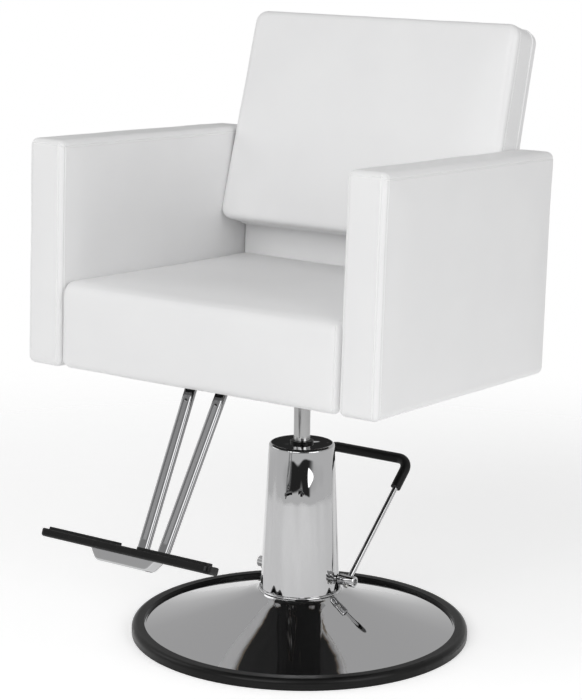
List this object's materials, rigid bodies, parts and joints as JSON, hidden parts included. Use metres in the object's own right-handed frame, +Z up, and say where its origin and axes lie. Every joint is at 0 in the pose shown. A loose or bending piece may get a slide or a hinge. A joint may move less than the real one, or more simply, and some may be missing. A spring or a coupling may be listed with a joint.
{
  "type": "styling chair",
  "caption": "Boxy padded salon styling chair with full arms, T footrest, swivelling hydraulic column with foot pump lever, and a round domed base with a rubber rim.",
  "frame": {"origin": "on the floor, on the column's and base's axis", "axes": "+Z up along the column, -Y the way the sitter faces, X across the seat"},
  "size_m": [0.688, 0.7848, 1.0414],
  "materials": {
    "white_vinyl": "satin",
    "mirror_chrome": "polished",
    "ground_steel": "satin",
    "zinc_steel": "satin",
    "black_steel": "satin",
    "cast_pump": "matte",
    "bronze": "satin",
    "seal_rubber": "matte",
    "black_rubber": "gloss",
    "black_grip": "satin",
    "black_plastic": "gloss",
    "plywood": "matte",
    "dust_cloth": "matte"
  },
  "bodies": {
    "base": {"base_ring": "black_rubber", "base_dome": "mirror_chrome", "stiffener": "black_steel", "base_bolts": "zinc_steel", "base_nuts": "zinc_steel", "pump_body": "cast_pump", "shaft_bushes": "bronze", "valve_plate": "zinc_steel", "lift_cylinder": "ground_steel", "oil_reservoir": "black_steel", "pump_head": "cast_pump", "guide_bush": "bronze", "rod_seal": "seal_rubber", "pump_cover": "mirror_chrome", "cover_collar": "mirror_chrome", "rod_gland": "black_rubber", "plunger_spring": "ground_steel"},
    "lever": {"lever_shaft": "ground_steel", "lever_rod": "mirror_chrome", "lever_sleeve": "black_grip", "lever_hubs": "mirror_chrome", "hub_screws": "zinc_steel", "pump_crank": "ground_steel"},
    "plunger": {"pump_plunger": "ground_steel"},
    "column": {"piston_rod": "ground_steel", "piston": "cast_pump", "piston_seal": "seal_rubber", "piston_nut": "zinc_steel", "thrust_washer": "bronze", "retaining_washer": "zinc_steel", "retaining_nut": "zinc_steel"},
    "seat": {"swivel_bracket": "black_steel", "seat_bolts": "zinc_steel", "seat_nuts": "zinc_steel", "seat_board": "plywood", "front_rail": "plywood", "rear_rail": "plywood", "side_rails": "plywood", "seat_deck": "plywood", "seat_cushion": "white_vinyl", "dust_cover": "dust_cloth", "rear_panel_core": "plywood", "rear_panel_cover": "white_vinyl", "back_board": "plywood", "back_cushion": "white_vinyl", "back_shell": "white_vinyl", "back_bolts": "zinc_steel", "arm_frame_left": "plywood", "arm_cover_left": "white_vinyl", "arm_frame_right": "plywood", "arm_cover_right": "white_vinyl", "arm_bolts": "zinc_steel", "footrest_flange": "black_steel", "footrest_leg_left": "mirror_chrome", "footrest_leg_right": "mirror_chrome", "foot_plate": "black_plastic", "foot_treads": "black_grip", "foot_boss": "mirror_chrome", "foot_screws": "zinc_steel"}
  },
  "joints": [
    {"name": "lift", "type": "slide", "parent": "base", "child": "column", "axis": [0, 0, 1], "range_m": [-0.085, 0.065]},
    {"name": "swivel", "type": "hinge", "parent": "column", "child": "seat", "pos_m": [0, 0, 0.447], "axis": [0, 0, 1], "continuous": true},
    {"name": "pump_lever", "type": "hinge", "parent": "base", "child": "lever", "pos_m": [0, 0.02, 0.101], "axis": [-1, 0, 0], "range_deg": [0, 28], "stiffness_Nm_per_rad": 6, "springref_deg": -28.65},
    {"name": "plunger_stroke", "type": "slide", "parent": "base", "child": "plunger", "axis": [0, 0, -1], "range_m": [0, 0.007], "deforming": ["plunger_spring"]}
  ],
  "couplings": [
    {"joint": "plunger_stroke", "follows": "pump_lever", "m_per_rad": 0.014}
  ]
}
